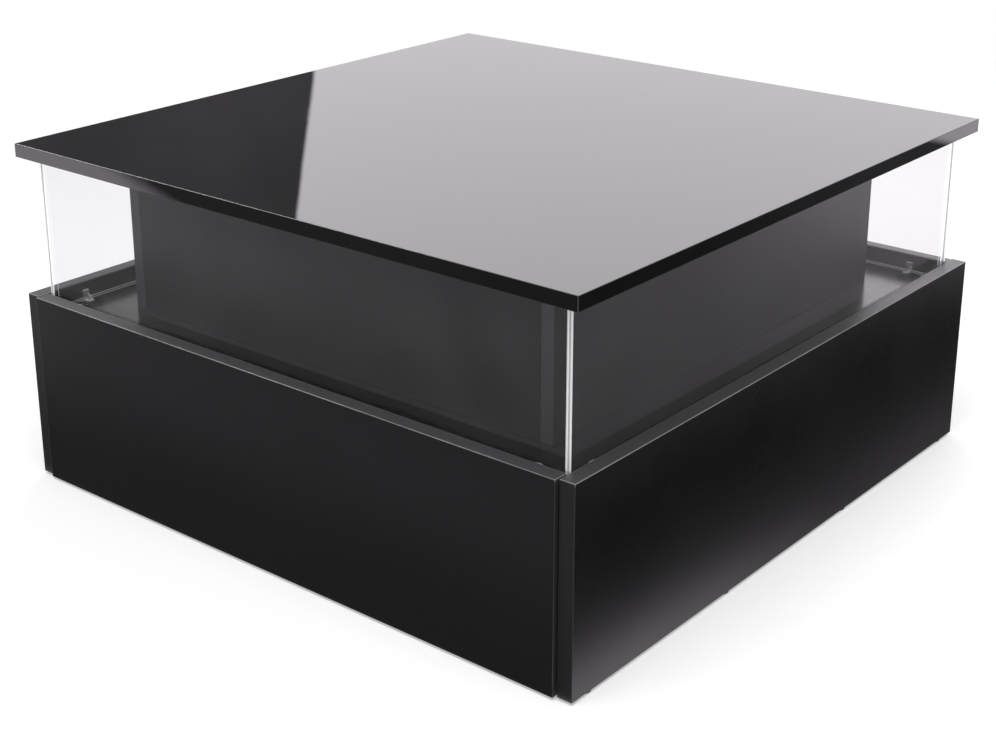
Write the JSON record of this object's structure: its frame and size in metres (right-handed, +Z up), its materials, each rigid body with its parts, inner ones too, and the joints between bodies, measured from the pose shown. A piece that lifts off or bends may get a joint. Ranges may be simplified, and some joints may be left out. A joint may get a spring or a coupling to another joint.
{
  "type": "collectors display table",
  "caption": "Low square coffee table with a glass display gallery round a core box, a lift-off gloss top and a full-width push-open drawer in the base.",
  "frame": {"origin": "on the floor, under the middle of the whole table", "axes": "+Z up, -Y towards the drawer front, +X to the right seen from the drawer front"},
  "size_m": [0.8, 0.804, 0.413],
  "materials": {
    "gloss_top": "high-gloss black lacquered board",
    "gloss_edging": "gloss black edge strip",
    "satin_laminate": "satin black laminated board",
    "core_laminate": "satin black laminated board",
    "display_floor_laminate": "semi-gloss black laminated board",
    "drawer_laminate": "matt dark grey laminated board",
    "drawer_bottom_board": "dark grey faced fibreboard",
    "clear_glass": "clear toughened glass, ground and polished edges",
    "clear_plastic": "clear moulded plastic",
    "clear_pad": "clear soft silicone",
    "clear_seal": "clear silicone strip",
    "zinc_casting": "die-cast zinc",
    "plated_steel": "bright zinc plate",
    "runner_steel": "zinc-plated rolled steel",
    "cage_steel": "rolled steel strip",
    "ball_steel": "polished bearing steel",
    "beech_dowel": "fluted beech",
    "black_plastic": "moulded matt black",
    "white_plastic": "moulded off-white"
  },
  "bodies": {
    "carcass": {"side_panel_left": "satin_laminate", "side_panel_right": "satin_laminate", "back_panel": "satin_laminate", "front_top_rail": "satin_laminate", "front_bottom_rail": "satin_laminate", "tray_floor": "display_floor_laminate", "core_side_left": "core_laminate", "core_side_right": "core_laminate", "core_front": "core_laminate", "core_back": "core_laminate", "glass_left": "clear_glass", "glass_right": "clear_glass", "glass_front": "clear_glass", "glass_back": "clear_glass", "cam_housings": "zinc_casting", "cam_bolts": "plated_steel", "carcass_dowels": "beech_dowel", "core_dowels": "beech_dowel", "floor_glides": "black_plastic", "core_brackets": "plated_steel", "core_bracket_screws": "plated_steel", "pane_gaskets": "clear_seal", "pane_pads": "clear_pad", "pane_clips": "clear_plastic", "pane_clip_screws": "plated_steel", "top_locating_pins": "plated_steel", "cabinet_runner_screws": "plated_steel", "cabinet_runner_left": "runner_steel", "cabinet_runner_right": "runner_steel", "latch_body": "black_plastic", "latch_spring": "plated_steel", "latch_screws": "plated_steel"},
    "drawer": {"drawer_front": "satin_laminate", "drawer_box_front": "drawer_laminate", "drawer_side_left": "drawer_laminate", "drawer_side_right": "drawer_laminate", "drawer_back": "drawer_laminate", "drawer_bottom": "drawer_bottom_board", "drawer_front_screws": "plated_steel", "drawer_box_screws": "plated_steel", "drawer_runner_left": "runner_steel", "drawer_runner_right": "runner_steel", "drawer_runner_screws": "plated_steel", "latch_strike": "plated_steel"},
    "top": {"top_panel": "gloss_top", "top_edging": "gloss_edging", "top_pin_sleeves": "black_plastic"},
    "latch_plunger": {"latch_plunger": "white_plastic"},
    "middle_runner_left": {"middle_runner_left": "runner_steel"},
    "outer_cage_left": {"outer_ball_cage_left": "cage_steel", "outer_balls_left": "ball_steel"},
    "inner_cage_left": {"inner_ball_cage_left": "cage_steel", "inner_balls_left": "ball_steel"},
    "middle_runner_right": {"middle_runner_right": "runner_steel"},
    "outer_cage_right": {"outer_ball_cage_right": "cage_steel", "outer_balls_right": "ball_steel"},
    "inner_cage_right": {"inner_ball_cage_right": "cage_steel", "inner_balls_right": "ball_steel"}
  },
  "joints": [
    {"name": "drawer_slide", "type": "slide", "parent": "carcass", "child": "drawer", "axis": [0, -1, 0], "range_m": [-0.003, 0.5]},
    {"name": "top_lift", "type": "slide", "parent": "carcass", "child": "top", "axis": [0, 0, 1], "range_m": [0, 0.15]},
    {"name": "latch_press", "type": "slide", "parent": "carcass", "child": "latch_plunger", "axis": [0, 1, 0], "range_m": [0, 0.003], "stiffness_N_per_m": 400, "deforming": ["latch_spring"]},
    {"name": "middle_runner_left_slide", "type": "slide", "parent": "carcass", "child": "middle_runner_left", "axis": [0, -1, 0], "range_m": [-0.0015, 0.25]},
    {"name": "outer_cage_left_slide", "type": "slide", "parent": "carcass", "child": "outer_cage_left", "axis": [0, -1, 0], "range_m": [-0.00075, 0.125]},
    {"name": "inner_cage_left_slide", "type": "slide", "parent": "carcass", "child": "inner_cage_left", "axis": [0, -1, 0], "range_m": [-0.00225, 0.375]},
    {"name": "middle_runner_right_slide", "type": "slide", "parent": "carcass", "child": "middle_runner_right", "axis": [0, -1, 0], "range_m": [-0.0015, 0.25]},
    {"name": "outer_cage_right_slide", "type": "slide", "parent": "carcass", "child": "outer_cage_right", "axis": [0, -1, 0], "range_m": [-0.00075, 0.125]},
    {"name": "inner_cage_right_slide", "type": "slide", "parent": "carcass", "child": "inner_cage_right", "axis": [0, -1, 0], "range_m": [-0.00225, 0.375]}
  ],
  "couplings": [
    {"joint": "middle_runner_left_slide", "follows": "drawer_slide", "ratio": 0.5},
    {"joint": "outer_cage_left_slide", "follows": "drawer_slide", "ratio": 0.25},
    {"joint": "inner_cage_left_slide", "follows": "drawer_slide", "ratio": 0.75},
    {"joint": "middle_runner_right_slide", "follows": "drawer_slide", "ratio": 0.5},
    {"joint": "outer_cage_right_slide", "follows": "drawer_slide", "ratio": 0.25},
    {"joint": "inner_cage_right_slide", "follows": "drawer_slide", "ratio": 0.75}
  ]
}
